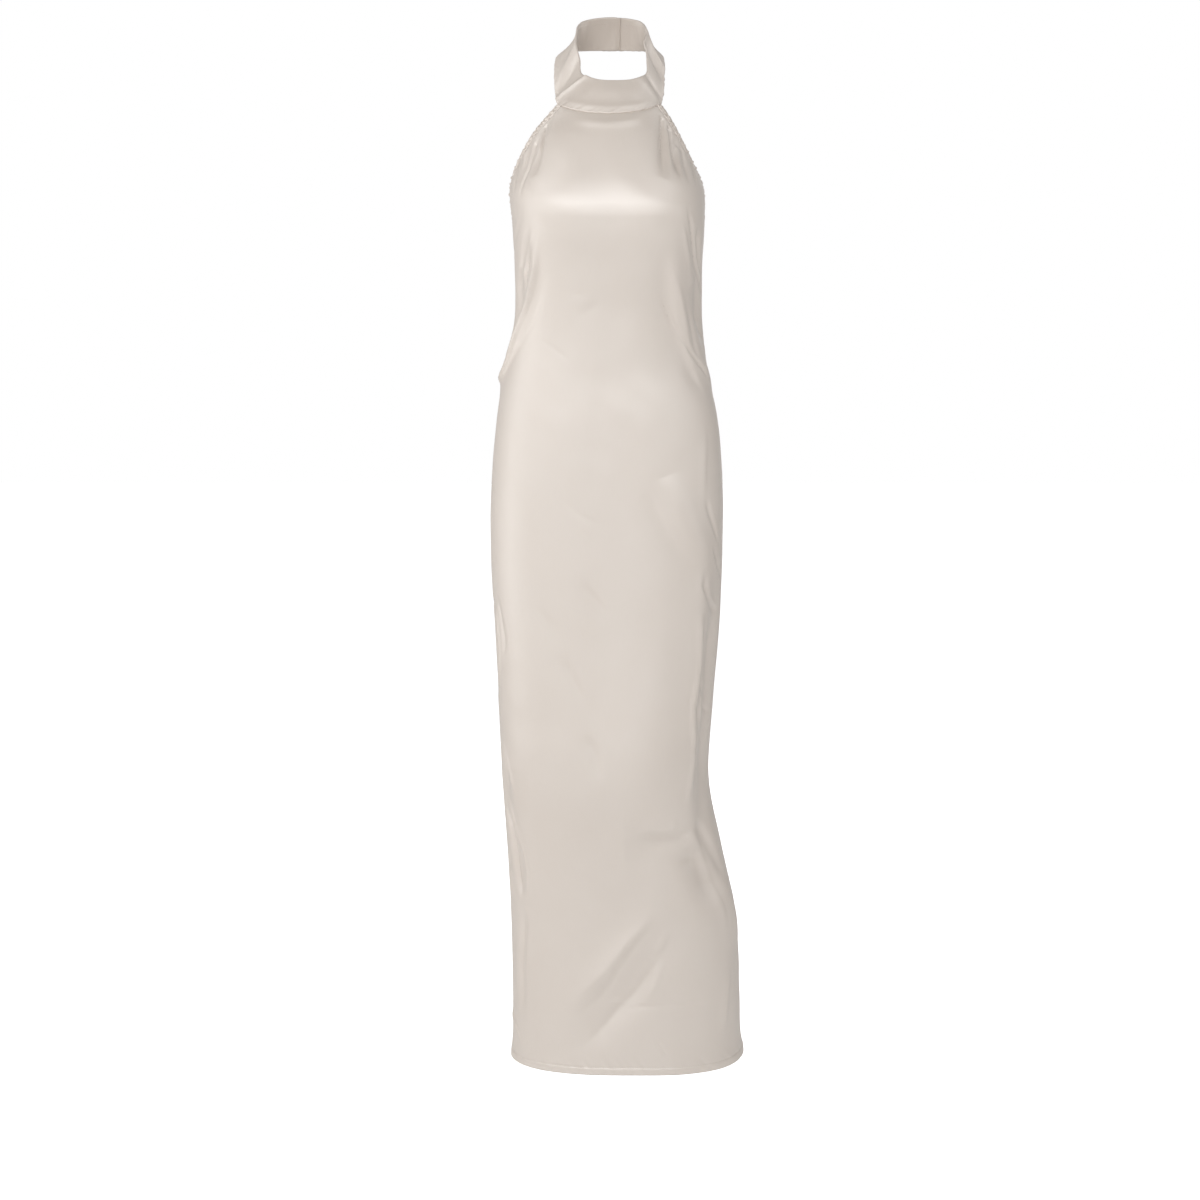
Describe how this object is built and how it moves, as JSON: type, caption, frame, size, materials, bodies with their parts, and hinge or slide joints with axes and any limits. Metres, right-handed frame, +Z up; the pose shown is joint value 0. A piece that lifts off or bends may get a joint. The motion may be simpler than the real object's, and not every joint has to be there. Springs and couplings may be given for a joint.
{
  "type": "halter dress",
  "caption": "Ankle-length satin halter dress with a stand collar round the neck, cut-in armholes and an open back, hollow as when it is worn.",
  "frame": {"origin": "middle of the neck, at the height of the collar band behind it, where the dress hangs", "axes": "+Z up, -Y the side that the front of the dress faces, +X to the right of a viewer who looks at the front"},
  "size_m": [0.3315, 0.2387, 1.353],
  "materials": {
    "satin": "champagne satin with a soft sheen",
    "satin_trim": "the same satin, folded narrow and stitched",
    "covered_buttons": "small buttons covered in the same satin"
  },
  "bodies": {
    "root": {"front_panel": "satin", "back_panel": "satin", "neck_band": "satin", "armhole_trim_left": "satin_trim", "armhole_trim_right": "satin_trim", "back_scoop_trim": "satin_trim", "neck_button_upper": "covered_buttons", "neck_button_lower": "covered_buttons"}
  },
  "joints": []
}
